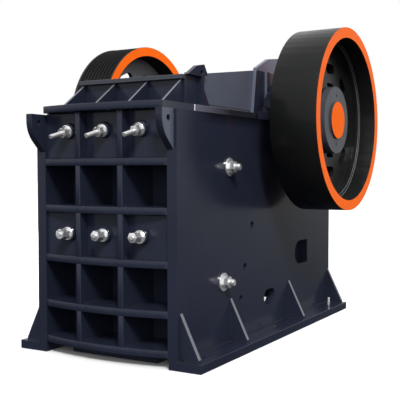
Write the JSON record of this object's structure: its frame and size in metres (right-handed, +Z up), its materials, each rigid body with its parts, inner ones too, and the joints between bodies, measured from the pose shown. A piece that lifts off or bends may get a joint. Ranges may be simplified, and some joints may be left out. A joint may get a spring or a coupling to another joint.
{
  "type": "jaw crusher",
  "caption": "Stationary stone crusher with a bowed, ribbed front wall, toothed jaws under a feed frame, and an eccentric shaft turning between a flywheel and a grooved sheave.",
  "frame": {"origin": "on the ground at the centre of the base, midway between the four corner anchor holes", "axes": "+Z up, front wall facing -Y, shaft along X with the flywheel at +X and the sheave at -X"},
  "size_m": [2.11, 2.8332, 2.265],
  "materials": {
    "frame_paint": "satin",
    "wheel_black": "satin",
    "orange_paint": "satin",
    "zinc": "bright",
    "machined_steel": "turned",
    "manganese_steel": "cast"
  },
  "bodies": {
    "frame": {"base_flange_left": "frame_paint", "base_flange_right": "frame_paint", "base_gussets_left": "frame_paint", "base_gussets_right": "frame_paint", "bearing_housing_left": "frame_paint", "bearing_housing_right": "frame_paint", "cheek_plate_left": "manganese_steel", "cheek_plate_right": "manganese_steel", "feed_front_gussets": "frame_paint", "feed_front_plate": "frame_paint", "feed_panel_left": "frame_paint", "feed_panel_right": "frame_paint", "feed_rear_plate": "frame_paint", "fixed_jaw_plate": "manganese_steel", "front_bar_1": "frame_paint", "front_bar_2": "frame_paint", "front_bar_3": "frame_paint", "front_bar_4": "frame_paint", "front_bar_5": "frame_paint", "front_lug_left": "frame_paint", "front_lug_right": "frame_paint", "front_rib_left": "frame_paint", "front_rib_right": "frame_paint", "front_sill": "frame_paint", "front_wall_plate": "frame_paint", "jaw_bolt_pads": "frame_paint", "lower_jaw_bolts": "zinc", "rear_lug_left": "frame_paint", "rear_lug_right": "frame_paint", "rear_wall": "frame_paint", "side_wall_left": "frame_paint", "side_wall_right": "frame_paint", "swing_jaw": "frame_paint", "swing_jaw_plate": "manganese_steel", "tension_rod": "machined_steel", "toggle_beam": "frame_paint", "toggle_plate": "manganese_steel", "top_flange_front": "frame_paint", "top_flange_left": "frame_paint", "top_flange_right": "frame_paint", "upper_jaw_bolts": "zinc"},
    "rotor": {"eccentric_shaft": "machined_steel", "flywheel": "wheel_black", "sheave": "wheel_black", "flywheel_cap": "orange_paint"}
  },
  "joints": [
    {"name": "rotor_spin", "type": "hinge", "parent": "frame", "child": "rotor", "pos_m": [0, 0.356, 1.589], "axis": [1, 0, 0], "continuous": true}
  ]
}
